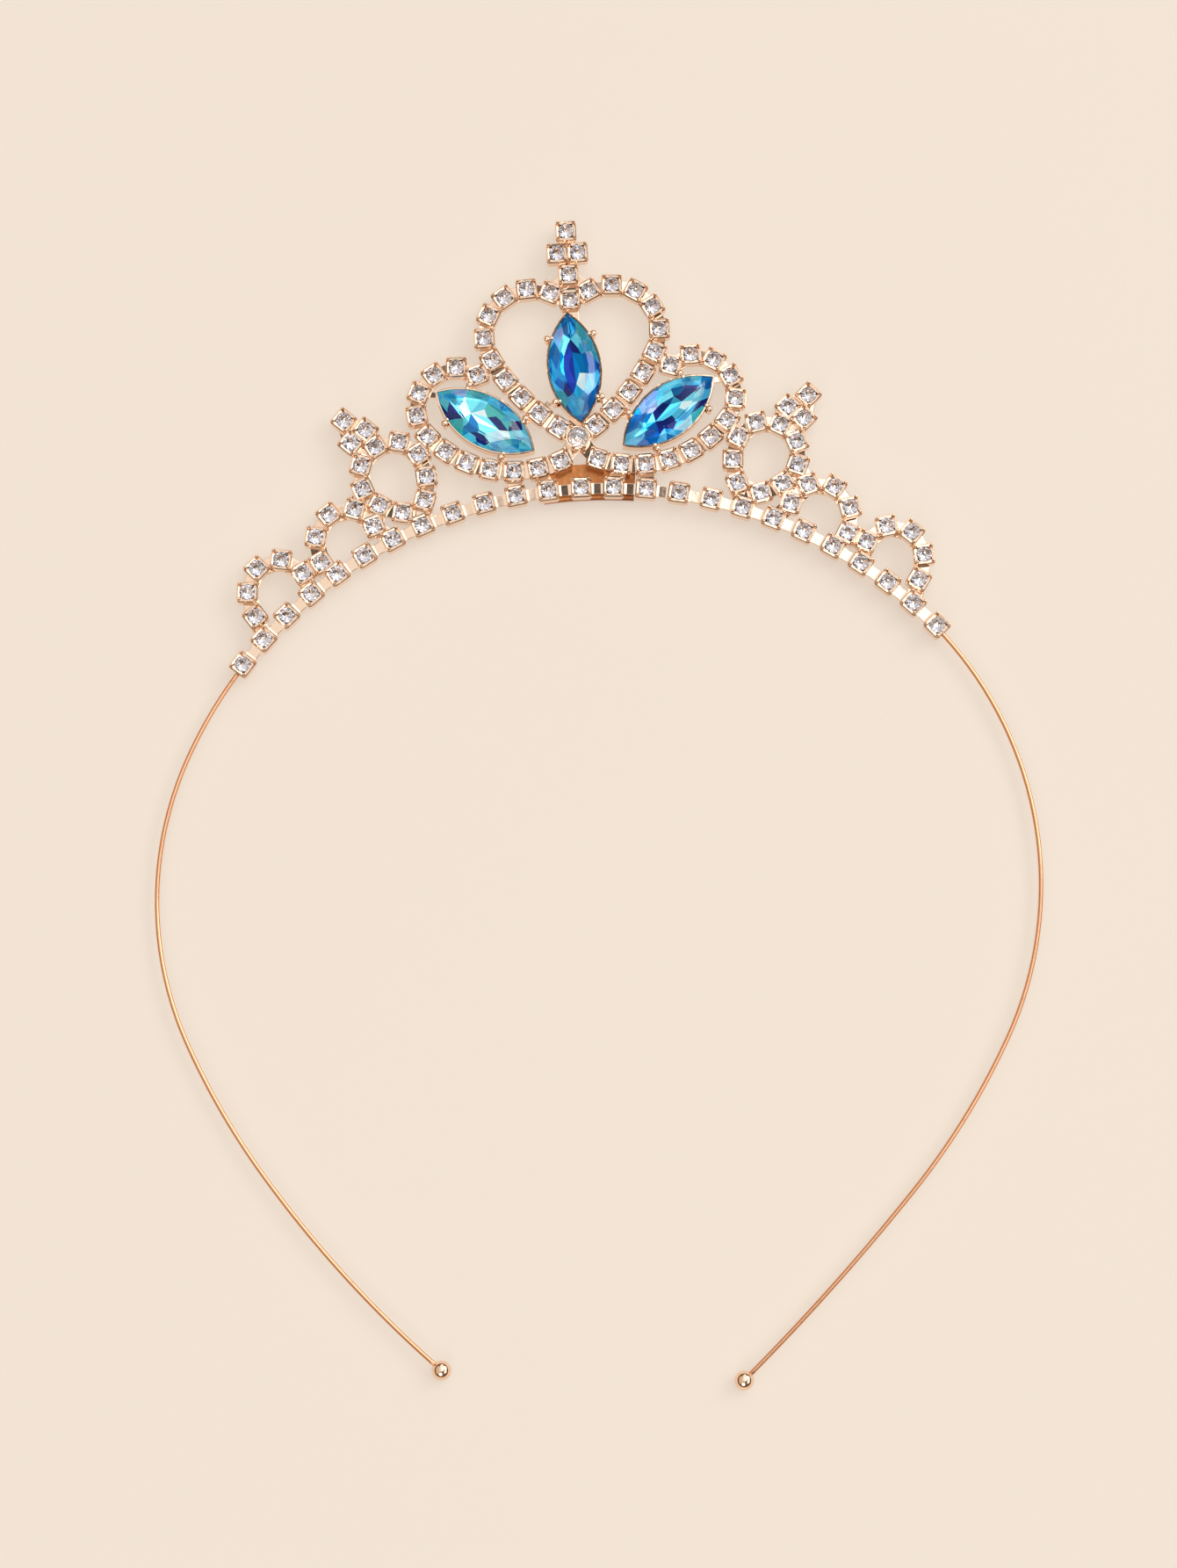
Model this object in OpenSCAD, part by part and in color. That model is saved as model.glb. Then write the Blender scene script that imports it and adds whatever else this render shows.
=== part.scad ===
// Mini crown headband, lying on its back.
// +X is to the crown's right, +Y towards the crown's top, +Z out of the crown's face.
// The origin is under the middle of the outline, on the surface that the tip balls lie on.

/* [Wire band] */
// Thickness of the band's round wire
wire_d = 0.75; // [0.6:0.05:0.8]
// Diameter of the ball on each end of the wire
ball_d = 3; // [2.8:0.1:3.4]
// Radius of the arc that the wire and the crown's bottom row share
arc_r = 70.7; // [68:0.1:74]
// Place of that arc's centre, to the right of the origin
arc_x = 1.3; // [-4:0.1:6]
// Place of that arc's centre, above the origin
arc_y = -22.6; // [-28:0.1:-18]

/* [Crown] */
// How far the crown is turned on the wire
crown_turn = 3.3; // [0:0.1:6]
// Angle between neighbouring cups of the bottom row
arc_step = 4.17; // [4.1:0.01:4.3]
// Width of a square cup
cup_w = 3.3; // [3.2:0.05:3.4]
// Thickness of the casting's floor, under the cups and between them
floor_t = 0.6; // [0.55:0.05:0.8]
// Height of a cup's walls above the floor
wall_h = 1.1; // [1:0.05:1.2]
// Height of the prongs above the walls
prong_h = 0.75; // [0.5:0.05:0.9]
// Width of the link plates between cups
link_w = 2; // [1.6:0.1:2.4]
// Width of the link plates of the bottom row
low_link_w = 1.7; // [1.4:0.1:2]

/* [Stones] */
// Diameter of a small round stone
stone_d = 2.5; // [2.4:0.05:2.5]
// Diameter of the round stone at the crown's middle
round_d = 3.2; // [2.8:0.05:3.3]
// Length of a pointed oval stone
gem_l = 17.6; // [17:0.1:18]
// Width of a pointed oval stone
gem_w = 8; // [7.6:0.1:8.1]

/* [Back plate] */
// Thickness of the plate behind the middle of the bottom row
plate_t = 0.9; // [0.8:0.05:1.1]
// Height of the plate, from just below the bottom row's middle line to its curved top edge
plate_h = 5.8; // [5:0.1:6.4]
// Width of the plate
plate_w = 14.7; // [12:0.1:18]
// How far the plate sits to the right of the crown's middle
plate_shift = 1.2; // [0:0.1:2]

/* [Hidden] */

rose_gold = [0.85, 0.6, 0.45];
copper = [0.62, 0.36, 0.22];
crystal = [0.86, 0.88, 0.92];
aqua_blue = [0.08, 0.5, 0.85];

gap = 0.05;                       // what separate metal pieces stay clear of each other
stone_gap = 0.1;                  // and what a stone stays clear of its cup
wire_z = ball_d / 2;              // height of the wire's axis
frame_z = wire_z;                 // the casting's underside: the wire lies half sunk in it
wall_z = frame_z + floor_t;       // the cups' inner floor
rim_z = wall_z + wall_h;          // the cups' rims

seat_d = stone_d + 2 * stone_gap; // bore of a cup round its stone
prong_d = 0.56;
prong_out = cup_w / 2 - prong_d / 2 - 0.08;   // from a cup's middle to its prongs, each way
girdle_z = rim_z - 0.05;          // height of a small stone's widest line
round_cup_d = round_d + 0.7;      // the round setting's outer diameter
round_seat_d = round_d + 2 * stone_gap;

bezel_t = 0.35;                   // a pointed setting's rim, out from its stone
bezel_h = 1.5;                    // height of its wall above the floor
gem_z = wall_z + bezel_h;         // height of a pointed stone's widest line
gem_crown_h = 1.35;               // its height above that line
gem_pavilion_h = 1.3;             // and its depth below it
ear_d = 1.1;                      // balls on the ears beside the pointed stones
ear_post_d = 0.8;
ear_along = 5.2;                  // their place from the setting's middle, along it
ear_out = 3.7;                    // and across it
tie_w = 0.9;                      // width of the ties that join a setting to the rows
plate_edge_r = arc_r - cup_w / 2; // radius of the back plate's bottom edge
wire_lap = 0.3;                   // each further arc of a leg starts this far inside the last one,
wire_step = 0.004;                // and is this much thinner, so that they join into one solid

// The legs of the wire. Each leaves the crown's arc at an angle from the arc's top, and goes on
// in arcs of [radius, sweep] to its tip.
left_leaves = 67;
left_leg = [[54.7, 48], [115, 11.5], [178, 13]];
right_leaves = 44.8;
right_leg = [[58, 70.8], [115, 13.8], [360, 6.1]];

// Each row of cups follows a walk of arcs on the crown's right-hand side, in the crown's own
// frame, whose origin is the centre of the bottom row's arc. The left-hand side mirrors it.
// Start of a walk: [x, y, heading]. Each arc: [length, turn], a left turn being positive.
heart_at = [3.05, 102.8, 26];
heart_arcs = [[18.9, -143.5], [15.8, -26]];
scroll_at = [15.3, 89.9, 71];
scroll_arcs = [[1.5, -50.5], [17.4, -150.5], [22.9, -71.5]];
ring_at = [24.6, 70.1, 109];
ring_arcs = [[8.8, -55], [1, -24], [16.3, -174], [4.7, -25]];
inner_loop_at = [41.3, 61, 60];
inner_loop_arcs = [[7.7, 75], [9.3, 116]];
outer_loop_at = [51.9, 52.9, 56];
outer_loop_arcs = [[6.4, 57], [10.3, 127.5]];

function arc_end(at, length, turn) =
    let (r = length / turn * 180 / PI)
    [at.x + r * (sin(at.z + turn) - sin(at.z)), at.y - r * (cos(at.z + turn) - cos(at.z)), at.z + turn];
function walk(at, arcs, s, i = 0) =
    s == 0 ? at
    : s <= arcs[i][0] || i == len(arcs) - 1 ? arc_end(at, s, arcs[i][1] * s / arcs[i][0])
    : walk(arc_end(at, arcs[i][0], arcs[i][1]), arcs, s - arcs[i][0], i + 1);
function total_length(arcs, i = 0) = i < len(arcs) ? arcs[i][0] + total_length(arcs, i + 1) : 0;
function cups_along(at, arcs, n) = [for (k = [0 : n - 1]) walk(at, arcs, total_length(arcs) * k / (n - 1))];
function on_arc(k) = [arc_r * sin(k * arc_step), arc_r * cos(k * arc_step), -k * arc_step];
function mirrored(cups) = [for (c = cups) [-c.x, c.y, 180 - c.z]];
function out_of(c, x, y) = [c.x + x * cos(c.z) - y * sin(c.z), c.y + x * sin(c.z) + y * cos(c.z)];

// Cups: [x, y, angle]
end_cup = 12;
bottom_row = [for (k = [-end_cup : end_cup]) on_arc(k)];
dip_cup = [0, 101.45, 0];
heart = cups_along(heart_at, heart_arcs, 10);
scroll = cups_along(scroll_at, scroll_arcs, 12);
ring = cups_along(ring_at, ring_arcs, 9);
inner_loop = cups_along(inner_loop_at, inner_loop_arcs, 5);
outer_loop = cups_along(outer_loop_at, outer_loop_arcs, 5);
top_cross = [[0, 112.8, 0], [-1.65, 109.2, 0], [1.65, 109.2, 0], [0, 105.6, 0]];
// The side crosses stand on the rings' outer corners and lean outwards
side_cross = [[36.7, 83.7, 42], [33.35, 82, 42], [35.75, 80, 42]];
round_cup = [0, 78.8, 0];
right_rows = [heart, scroll, ring, inner_loop, outer_loop];
right_cups = concat([for (row = right_rows) for (c = row) c], side_cross);
cups = concat(bottom_row, [dip_cup], top_cross, right_cups, mirrored(right_cups));

// Settings of the pointed stones: [x, y, angle of the long axis]
centre_setting = [0.05, 90.05, 94];
right_setting = [14.5, 82.15, 35];
left_setting = mirrored([right_setting])[0];
settings = [centre_setting, right_setting, left_setting];

// Link plates between neighbours in the right-hand rows
row_links = [for (row = right_rows) for (k = [0 : len(row) - 2]) [row[k], row[k + 1]]];
// Soldered joints between rows, on the right-hand side
joints = [[dip_cup, heart[0]], [top_cross[3], heart[0]], [heart[5], scroll[0]],
          [heart[9], round_cup], [scroll[11], round_cup],
          [scroll[9], on_arc(2)], [scroll[10], on_arc(1)], [scroll[5], ring[2]],
          [ring[8], ring[0]], [ring[0], on_arc(5)], [ring[6], inner_loop[3]], [ring[7], inner_loop[4]],
          [inner_loop[4], on_arc(6)], [inner_loop[0], on_arc(8)], [inner_loop[0], outer_loop[4]],
          [outer_loop[4], on_arc(9)], [outer_loop[0], on_arc(11)],
          [ring[4], side_cross[1]], [ring[4], side_cross[2]], [side_cross[1], side_cross[2]],
          [side_cross[0], side_cross[1]], [side_cross[0], side_cross[2]]];
// Joints on the crown's middle line
middle_joints = [[top_cross[0], top_cross[3]], [top_cross[1], top_cross[2]], [top_cross[3], dip_cup],
                 [dip_cup, centre_setting], [round_cup, centre_setting]];
// Ties from the settings' ears and tips to the rows, on the right-hand side
setting_ties = [[out_of(right_setting, -ear_along, ear_out), heart[8]],
                [out_of(right_setting, ear_along, ear_out), scroll[0]],
                [out_of(right_setting, -ear_along, -ear_out), scroll[8]],
                [out_of(right_setting, gem_l / 2, 0), scroll[3]],
                [out_of(centre_setting, -ear_along, -ear_out), heart[8]]];

// A prong is left off where it would stand in a neighbour's seat
function in_a_seat(p) =
    norm([p.x - round_cup.x, p.y - round_cup.y]) < (round_seat_d + prong_d) / 2
    || len([for (c = cups) if (norm([p.x - c.x, p.y - c.y]) < (seat_d + prong_d) / 2) c]) > 0;
round_prong_r = (round_seat_d + prong_d) / 2 + 0.02;
round_prongs = [for (a = [60, 120, 245, 295]) round_cup + round_prong_r * [cos(a), sin(a), 0]];
prongs = [for (c = cups) for (x = [-1, 1], y = [-1, 1])
    let (p = out_of(c, x * prong_out, y * prong_out)) if (!in_a_seat(p)) p];

module in_crown() translate([arc_x, arc_y, 0]) rotate(crown_turn) children();
module at_place(c) translate([c.x, c.y]) rotate(c.z) children();
module both_sides() { children(); mirror([1, 0, 0]) children(); }
module bar(a, b, w)
    translate([(a.x + b.x) / 2, (a.y + b.y) / 2])
        rotate(atan2(b.y - a.y, b.x - a.x)) square([norm([b.x - a.x, b.y - a.y]), w], center = true);

// Outline of a pointed stone, two equal arcs that meet at its tips, with a margin of t round it
oval_r = (pow(gem_l, 2) + pow(gem_w, 2)) / (4 * gem_w);
module pointed_oval(t) intersection() {
    translate([0, oval_r - gem_w / 2]) circle(oval_r + t, $fn = 96);
    translate([0, gem_w / 2 - oval_r]) circle(oval_r + t, $fn = 96);
}
module cup_squares() for (c = cups) at_place(c) square(cup_w, center = true);
module round_outline(d) at_place(round_cup) circle(d = d, $fn = 32);
module at_ears() for (x = [-1, 1], y = [-1, 1]) translate([x * ear_along, y * ear_out]) children();

// What lies at floor level: under the cups, between them, and under the settings
module floor_outline() {
    cup_squares();
    round_outline(round_cup_d);
    for (k = [-end_cup : end_cup - 1]) bar(on_arc(k), on_arc(k + 1), low_link_w);
    both_sides() for (l = concat(row_links, joints)) bar(l[0], l[1], link_w);
    for (l = middle_joints) bar(l[0], l[1], link_w);
    for (s = settings) at_place(s) {
        pointed_oval(bezel_t);
        at_ears() circle(d = ear_post_d, $fn = 16);
        for (x = [-1, 1]) translate([x * ear_along, 0]) square([tie_w, 2 * ear_out], center = true);
    }
    both_sides() for (l = setting_ties) bar(l[0], l[1], tie_w);
}
module cup_walls() difference() {
    union() { cup_squares(); round_outline(round_cup_d); }
    for (c = cups) at_place(c) circle(d = seat_d, $fn = 24);
    round_outline(round_seat_d);
}

// The casting: cups, link plates, pointed settings and their ears in one piece, with a
// half-round groove along the back of the bottom row for the wire
module crown_frame() color(rose_gold) difference() {
    in_crown() {
        translate([0, 0, frame_z]) linear_extrude(floor_t) floor_outline();
        translate([0, 0, wall_z]) linear_extrude(wall_h) cup_walls();
        for (p = concat(prongs, round_prongs))
            translate([p.x, p.y, rim_z]) cylinder(d = prong_d, h = prong_h, $fn = 6);
        for (s = settings) at_place(s) {
            translate([0, 0, wall_z]) linear_extrude(bezel_h) difference() {
                pointed_oval(bezel_t);
                pointed_oval(gap);
            }
            at_ears() {
                translate([0, 0, wall_z]) cylinder(d = ear_post_d, h = bezel_h, $fn = 16);
                translate([0, 0, gem_z]) sphere(d = ear_d, $fn = 24);
            }
        }
    }
    wire_path(wire_d + 2 * gap);
}

// Arcs of a right-hand leg: [centre, radius, angle of its far end, sweep]
function leg_arcs(leg, a, centre = [0, 0], r = arc_r, i = 0) =
    i == len(leg) ? []
    : let (next = centre + (r - leg[i][0]) * [cos(a), sin(a)], far = a - leg[i][1])
      concat([[next, leg[i][0], far, leg[i][1]]], leg_arcs(leg, far, next, leg[i][0], i + 1));
right_arcs = leg_arcs(right_leg, 90 - right_leaves);
left_arcs = leg_arcs(left_leg, 90 - left_leaves);
function tip_of(arc) = [arc[0].x + arc[1] * cos(arc[2]), arc[0].y + arc[1] * sin(arc[2]), arc[2]];

module wire_arc(centre, r, a, sweep, d)
    translate(centre) rotate(a) rotate_extrude(angle = sweep) translate([r, 0]) circle(d = d, $fn = 24);
module leg_of_wire(arcs, d) for (i = [0 : len(arcs) - 1])
    wire_arc(arcs[i][0], arcs[i][1], arcs[i][2], arcs[i][3] + wire_lap / arcs[i][1] * 180 / PI, d - (i + 1) * wire_step);
module wire_path(d) translate([arc_x, arc_y, wire_z]) {
    wire_arc([0, 0], arc_r, 90 - right_leaves, right_leaves + left_leaves, d);
    leg_of_wire(right_arcs, d);
    mirror([1, 0, 0]) leg_of_wire(left_arcs, d);
}

// The band: one spring wire, bent in the plane of the crown
module band_wire() color(rose_gold) wire_path(wire_d);

// The balls are drilled to their middle and pushed on the wire's ends
module tip_ball(tip) color(rose_gold) translate([tip.x, tip.y, wire_z]) rotate(tip.z) difference() {
    sphere(d = ball_d, $fn = 32);
    translate([0, -gap, 0]) rotate([-90, 0, 0]) cylinder(d = wire_d + 2 * gap, h = ball_d, $fn = 24);
}
module tip_ball_right() translate([arc_x, arc_y, 0]) tip_ball(tip_of(right_arcs[len(right_arcs) - 1]));
module tip_ball_left()
    translate([arc_x, arc_y, 0]) mirror([1, 0, 0]) tip_ball(tip_of(left_arcs[len(left_arcs) - 1]));

// A curved plate behind the middle of the bottom row, which closes over the wire in its groove
module back_plate() color(copper) difference() {
    in_crown() translate([0, 0, frame_z - gap - plate_t]) linear_extrude(plate_t) intersection() {
        difference() {
            circle(plate_edge_r + plate_h, $fn = 180);
            circle(plate_edge_r, $fn = 180);
        }
        translate([plate_shift - plate_w / 2, 0]) square([plate_w, 2 * arc_r]);
    }
    wire_path(wire_d + 2 * gap);
}

// A cut stone with a flat table, main facets and a pointed back, on its widest line
module cut_stone(d, crown_h, pavilion_h)
    rotate_extrude($fn = 8)
        polygon([[0, -pavilion_h], [d / 2, 0], [d / 2, 0.08], [0.31 * d, crown_h], [0, crown_h]]);
module small_stones(cups)
    color(crystal) in_crown()
        for (c = cups) translate([c.x, c.y, girdle_z]) rotate(c.z + 22.5) cut_stone(stone_d, 0.45, 0.95);
module round_stone()
    color(crystal) in_crown() translate([round_cup.x, round_cup.y, girdle_z]) cut_stone(round_d, 0.6, 1);

// A pointed oval stone: rings of points from the table down to the culet, [along, across, height]
gem_rings = [[0.62, 0.5, gem_crown_h], [1, 1, 0.12], [1, 1, -0.12], [0.3, 0.12, -gem_pavilion_h]];
gem_side_n = 8;
gem_tip_a = asin(gem_l / 2 / oval_r);
gem_outline = [for (side = [1, -1]) for (i = [0 : gem_side_n - 1])
    let (a = gem_tip_a * (2 * i / gem_side_n - 1))
    side * [oval_r * sin(a), oval_r * cos(a) - oval_r + gem_w / 2]];
module marquise_stone(setting) {
    n = len(gem_outline);
    points = [for (ring = gem_rings) for (p = gem_outline) [p.x * ring.x, p.y * ring.y, ring.z]];
    sides = [for (k = [0 : len(gem_rings) - 2]) for (i = [0 : n - 1])
        let (j = (i + 1) % n) [k * n + j, k * n + i, (k + 1) * n + i, (k + 1) * n + j]];
    table = [for (i = [0 : n - 1]) i];
    culet = [for (i = [n - 1 : -1 : 0]) (len(gem_rings) - 1) * n + i];
    color(aqua_blue) in_crown() translate([setting.x, setting.y, gem_z]) rotate(setting.z)
        polyhedron(points, concat([table], sides, [culet]));
}

crown_frame();
band_wire();
tip_ball_left();
tip_ball_right();
back_plate();
marquise_stone(centre_setting);  // marquise_stone_centre
marquise_stone(left_setting);  // marquise_stone_left
marquise_stone(right_setting);  // marquise_stone_right
round_stone();
small_stones(bottom_row);  // bottom_row_stones
small_stones(concat([dip_cup], heart, mirrored(heart)));  // heart_stones
small_stones(top_cross);  // top_cross_stones
small_stones(mirrored(scroll));  // scroll_stones_left
small_stones(scroll);  // scroll_stones_right
small_stones(mirrored(ring));  // ring_stones_left
small_stones(ring);  // ring_stones_right
small_stones(mirrored(side_cross));  // side_cross_stones_left
small_stones(side_cross);  // side_cross_stones_right
small_stones(mirrored(inner_loop));  // inner_loop_stones_left
small_stones(inner_loop);  // inner_loop_stones_right
small_stones(mirrored(outer_loop));  // outer_loop_stones_left
small_stones(outer_loop);  // outer_loop_stones_right
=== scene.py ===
import math
import random

import bmesh
import bpy
from mathutils import Matrix, Vector


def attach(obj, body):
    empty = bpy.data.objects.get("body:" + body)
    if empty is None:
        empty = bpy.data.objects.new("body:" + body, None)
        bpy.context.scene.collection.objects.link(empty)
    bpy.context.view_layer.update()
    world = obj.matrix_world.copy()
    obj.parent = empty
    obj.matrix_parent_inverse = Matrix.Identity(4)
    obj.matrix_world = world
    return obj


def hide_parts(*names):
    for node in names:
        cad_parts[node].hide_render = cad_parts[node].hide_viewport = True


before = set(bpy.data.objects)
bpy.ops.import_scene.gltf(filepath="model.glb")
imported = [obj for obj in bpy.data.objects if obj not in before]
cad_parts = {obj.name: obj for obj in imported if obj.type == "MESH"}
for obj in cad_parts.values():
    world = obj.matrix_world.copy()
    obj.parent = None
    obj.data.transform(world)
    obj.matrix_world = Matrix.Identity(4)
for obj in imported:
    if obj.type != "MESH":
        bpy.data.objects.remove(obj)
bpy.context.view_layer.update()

# The camera looks down at the headband as it lies, from above the ball tips, as steeply as in
# the photo. Its aim is the point of the floor that the middle of the photo shows.
CAMERA_PITCH = 80
CAMERA_DISTANCE = 0.5419
camera_aim = Vector((-0.00159, 0.00122, 0))

camera = bpy.data.objects.new("camera", bpy.data.cameras.new("camera"))
camera.data.lens = 80
camera.data.sensor_width = 36
camera.data.clip_start = 0.01
pitch = math.radians(CAMERA_PITCH)
camera.location = camera_aim + CAMERA_DISTANCE * Vector((0, -math.cos(pitch), math.sin(pitch)))
camera.rotation_euler = (math.pi / 2 - pitch, 0, 0)
bpy.context.scene.collection.objects.link(camera)
bpy.context.scene.camera = camera
bpy.context.scene.view_settings.view_transform = "Standard"


# The studio is a warm, dim room with soft boxes, which the polished metal and the stones mirror.
# A white ceiling, brighter over its right half, hangs above the table. A bright box stands on the
# right, a cream wall on the left, a box at the back and a small one in front. The camera is dark.
class Link:
    """One output of a shader tree. Sums and products of links, or of a link and a number, add Math nodes."""

    def __init__(self, tree, socket=None):
        self.tree = tree
        self.socket = socket

    def node(self, kind, settings=None, values=None, output=0):
        """Adds any node: its settings first, or a ramp's stops, then the values or links of its sockets."""
        made = self.tree.nodes.new(kind)
        for name, value in (settings or {}).items():
            if name == "stops":
                ramp = made.color_ramp.elements
                while len(ramp) < len(value):
                    ramp.new(0.5)
                for stop, (place, colour) in zip(ramp, value):
                    stop.position = place
                    stop.color = (*colour, 1)
            else:
                setattr(made, name, value)
        for name, value in (values or {}).items():
            if isinstance(value, Link):
                self.tree.links.new(value.socket, made.inputs[name])
            else:
                made.inputs[name].default_value = value
        return Link(self.tree, made.outputs[output]) if made.outputs else made

    def maths(self, operation, *values):
        return self.node("ShaderNodeMath", {"operation": operation}, dict(enumerate(values)))

    def __add__(self, other):
        return self.maths("ADD", self, other)

    def __rsub__(self, other):
        return self.maths("SUBTRACT", other, self)

    def __mul__(self, other):
        return self.maths("MULTIPLY", self, other)

    def __truediv__(self, other):
        return self.maths("DIVIDE", self, other)

    __radd__ = __add__
    __rmul__ = __mul__

    def band(self, low, high, soft):
        """1 between low and high, falling to 0 over soft at each end."""
        rise = self.node("ShaderNodeMapRange", {"interpolation_type": "SMOOTHSTEP"},
                         {"Value": self, "From Min": low - soft, "From Max": low + soft})
        fall = self.node("ShaderNodeMapRange", {"interpolation_type": "SMOOTHSTEP"},
                         {"Value": self, "From Min": high - soft, "From Max": high + soft})
        return rise * (1 - fall)

    def blend(self, a, b):
        """Colour a where this is 0 and colour b where it is 1."""
        colours = {6: a if isinstance(a, Link) else (*a, 1), 7: b if isinstance(b, Link) else (*b, 1)}
        return self.node("ShaderNodeMix", {"data_type": "RGBA"}, {0: self, **colours}, output=2)


LOW_WALLS = (0.2, 0.14, 0.09)
HIGH_WALLS = (0.1, 0.085, 0.075)
HORIZON = (0.86, 0.75, 0.63)
CEILING_LEFT = (0.98, 1.0, 0.99)
CEILING_RIGHT = (1.85, 1.92, 1.95)

world = bpy.data.worlds.new("studio")
world.use_nodes = True
world.node_tree.nodes.clear()
room = Link(world.node_tree)
ray_x = room.node("ShaderNodeSeparateXYZ", None, {0: room.node("ShaderNodeTexCoord")})
ray_y = Link(room.tree, ray_x.socket.node.outputs[1])
ray_z = Link(room.tree, ray_x.socket.node.outputs[2])
height = ray_z.maths("MAXIMUM", ray_z, 0.02)
across = ray_x / height
along = ray_y / height

light = ray_z.band(0.4, 2, 0.2).blend(LOW_WALLS, HIGH_WALLS)
light = ray_z.band(-2, 0.03, 0.01).blend(light, HORIZON)
ceiling_white = across.band(0.01, 9, 0.02).blend(CEILING_LEFT, CEILING_RIGHT)
# Each box spans a low to a high value across and along, with a soft edge, on a plane at height 1.
for across_span, along_span, colour in (((-2.2, -0.2, 0.03), (-1.2, 1.6, 0.1), (0.72, 0.6, 0.5)),
                                        ((0.7, 2.0, 0.05), (-0.9, 1.6, 0.1), (1.7, 1.65, 1.55)),
                                        ((-0.3, 0.9, 0.05), (0.62, 3.5, 0.05), (1.3, 1.2, 1.1)),
                                        ((-0.2, 0.2, 0.05), (-0.9, -0.1, 0.05), (0.6, 0.52, 0.45)),
                                        ((-0.42, 0.47, 0.02), (-0.12, 0.7, 0.03), ceiling_white),
                                        ((-0.02, 0.03, 0.008), (0.12, 0.37, 0.02), (0.1, 0.09, 0.085))):
    soft_box = across.band(*across_span) * along.band(*along_span)
    light = soft_box.blend(light, colour)
sky = room.node("ShaderNodeBackground", None, {"Color": light, "Strength": 1.0})
room.node("ShaderNodeOutputWorld", None, {"Surface": sky})
bpy.context.scene.world = world

for name, place, width, energy, colour in (("key_light", (1.0, 0.6, 0.85), 0.9, 5.5, (1, 0.95, 0.88)),
                                           ("front_light", (-0.2, -1.1, 0.9), 0.9, 4, (1, 0.95, 0.9))):
    lamp = bpy.data.objects.new(name, bpy.data.lights.new(name, "AREA"))
    lamp.data.shape = "DISK"
    lamp.data.size = width
    lamp.data.energy = energy
    lamp.data.color = colour
    lamp.location = place
    lamp.rotation_euler = Vector(place).to_track_quat("Z", "Y").to_euler()
    bpy.context.scene.collection.objects.link(lamp)


# The floor is a sheet of plain cream paper under the whole headband. It glows a little, as paper
# that is lit from all sides does, so that its tone stays even.
def new_material(name):
    """An empty shader tree for a material, and the material."""
    material = bpy.data.materials.new(name)
    material.use_nodes = True
    material.node_tree.nodes.clear()
    return material, Link(material.node_tree)


def finish_material(tree, shader):
    tree.node("ShaderNodeOutputMaterial", None, {"Surface": shader})


FLOOR_WIDTH = 24
PAPER_GLOW = 0.61
FIBRES_PER_M = 9

floor_mesh = bmesh.new()
bmesh.ops.create_grid(floor_mesh, x_segments=1, y_segments=1, size=FLOOR_WIDTH / 2)
floor_data = bpy.data.meshes.new("floor")
floor_mesh.to_mesh(floor_data)
floor = bpy.data.objects.new("floor", floor_data)
bpy.context.scene.collection.objects.link(floor)
paper, tree = new_material("cream_paper")
place = tree.node("ShaderNodeTexCoord", output=3)
fibres = tree.node("ShaderNodeTexNoise", None, {"Vector": place, "Scale": FIBRES_PER_M, "Detail": 3.0})
finish_material(tree, tree.node("ShaderNodeBsdfPrincipled", None, {
    "Base Color": fibres.blend((0.31, 0.28, 0.25), (0.32, 0.29, 0.26)),
    "Roughness": 0.75,
    "Emission Color": (0.9, 0.79, 0.68, 1),
    "Emission Strength": PAPER_GLOW}))
floor_data.materials.append(paper)


# The band is one spring wire of plated steel, drawn round and bent in the plane of the crown.
# Over the crown it follows the bottom row, and each leg goes on in arcs of its own to its tip.
# Its lengths, like those of all the pieces, are in millimetres until the piece is finished.
WIRE_D = 0.73
WIRE_Z = 1.5
ARC_R = 70.7
ARC_CENTRE = Vector((1.3, -22.6, 0))
RIGHT_LEAVES = 44.8
RIGHT_LEG = [(58, 70.8), (115, 13.8), (360, 6.1)]
LEFT_LEAVES = 67
LEFT_LEG = [(54.7, 48), (115, 11.5), (178, 13)]
MM = Matrix.Scale(0.001, 4)
UP = Vector((0, 0, 1))
CLOUDS_PER_M = 120
SPECKS_PER_M = 1500
BUMPS_PER_M = 900
BUMP_DEPTH = 0.0001
PAINTED_FADE_SHARE = 0.75
THIN_SPECKS = (0.62, 0.8)


def polished(name, low, high, dark, roughness, uneven, painted_fade=None):
    """Polished plating: two tones in clouds, or a painted highlight fading to painted shade along X, darker
    where thin, on an uneven surface.
    """
    material, tree = new_material(name)
    place = tree.node("ShaderNodeTexCoord", output=3)
    clouds = tree.node("ShaderNodeTexNoise", None, {"Vector": place, "Scale": CLOUDS_PER_M, "Detail": 2.0})
    # A fade along X paints light at one end and shade at the other.
    if painted_fade:
        sideways = tree.node("ShaderNodeSeparateXYZ", None, {0: place})
        painted_fade_tone = tree.node("ShaderNodeMapRange", None,
                          {"Value": sideways, "From Min": painted_fade[0], "From Max": painted_fade[1]})
        clouds = painted_fade_tone * PAINTED_FADE_SHARE + clouds * (1 - PAINTED_FADE_SHARE)
    specks = tree.node("ShaderNodeTexNoise", None, {"Vector": place, "Scale": SPECKS_PER_M, "Detail": 3.0})
    thin = tree.node("ShaderNodeMapRange", None,
                     {"Value": specks, "From Min": THIN_SPECKS[0], "From Max": THIN_SPECKS[1]})
    tone = (thin * 0.5).blend(clouds.blend(low, high), dark)
    bumps = tree.node("ShaderNodeTexNoise", None, {"Vector": place, "Scale": BUMPS_PER_M, "Detail": 1.0})
    surface = tree.node("ShaderNodeBump", None,
                        {"Strength": uneven, "Distance": BUMP_DEPTH, "Height": bumps})
    finish_material(tree, tree.node("ShaderNodeBsdfPrincipled", None, {
        "Base Color": tone,
        "Metallic": 1.0,
        "Roughness": roughness + specks * 0.05,
        "Normal": surface}))
    return material


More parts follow.
